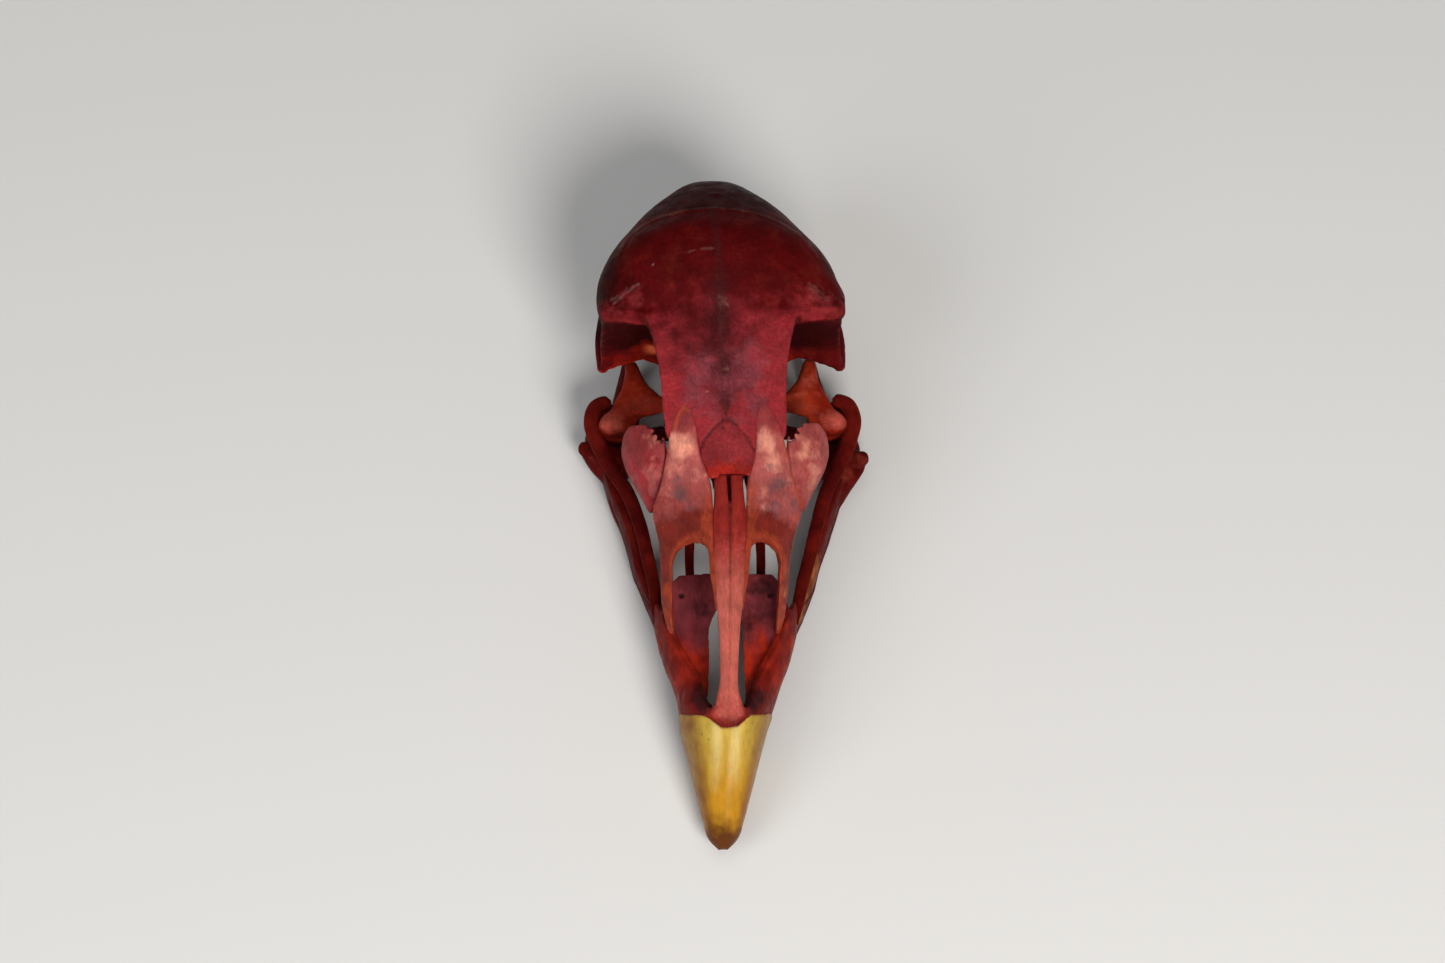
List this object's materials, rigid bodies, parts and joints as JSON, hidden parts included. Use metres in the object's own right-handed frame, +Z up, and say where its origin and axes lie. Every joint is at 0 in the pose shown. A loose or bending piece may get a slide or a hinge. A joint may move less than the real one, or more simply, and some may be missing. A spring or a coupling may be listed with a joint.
{
  "type": "bird skull",
  "caption": "Life-size skull of a pheasant-like bird: domed braincase, open orbits and nostrils, tapering bill with horn tips, slim cheek bars, and the lower jaw it rests on.",
  "frame": {"origin": "on the floor, under the middle of the skull's bounding box", "axes": "+Z up, -Y towards the tip of the bill, +X towards the bird's left side, which is the viewer's right in the picture"},
  "size_m": [0.0316, 0.0744, 0.0264],
  "materials": {
    "crimson_bone": "satin, deep red stained bone",
    "rose_bone": "satin, rose red stained bone",
    "salmon_bone": "satin, thin salmon coloured bone",
    "dark_red_bone": "satin, dark red stained bone",
    "horn": "smooth yellow horn, slightly translucent"
  },
  "bodies": {
    "root": {"cranium": "crimson_bone", "upper_bill": "rose_bone", "upper_sheath": "horn", "mandible": "dark_red_bone", "lower_sheath": "horn", "nasal_left": "salmon_bone", "nasal_right": "salmon_bone", "lacrimal_left": "salmon_bone", "lacrimal_right": "salmon_bone", "quadrate_left": "rose_bone", "quadrate_right": "rose_bone", "jugal_left": "dark_red_bone", "jugal_right": "dark_red_bone", "palatine_left": "dark_red_bone", "palatine_right": "dark_red_bone", "pterygoid_left": "dark_red_bone", "pterygoid_right": "dark_red_bone"}
  },
  "joints": []
}
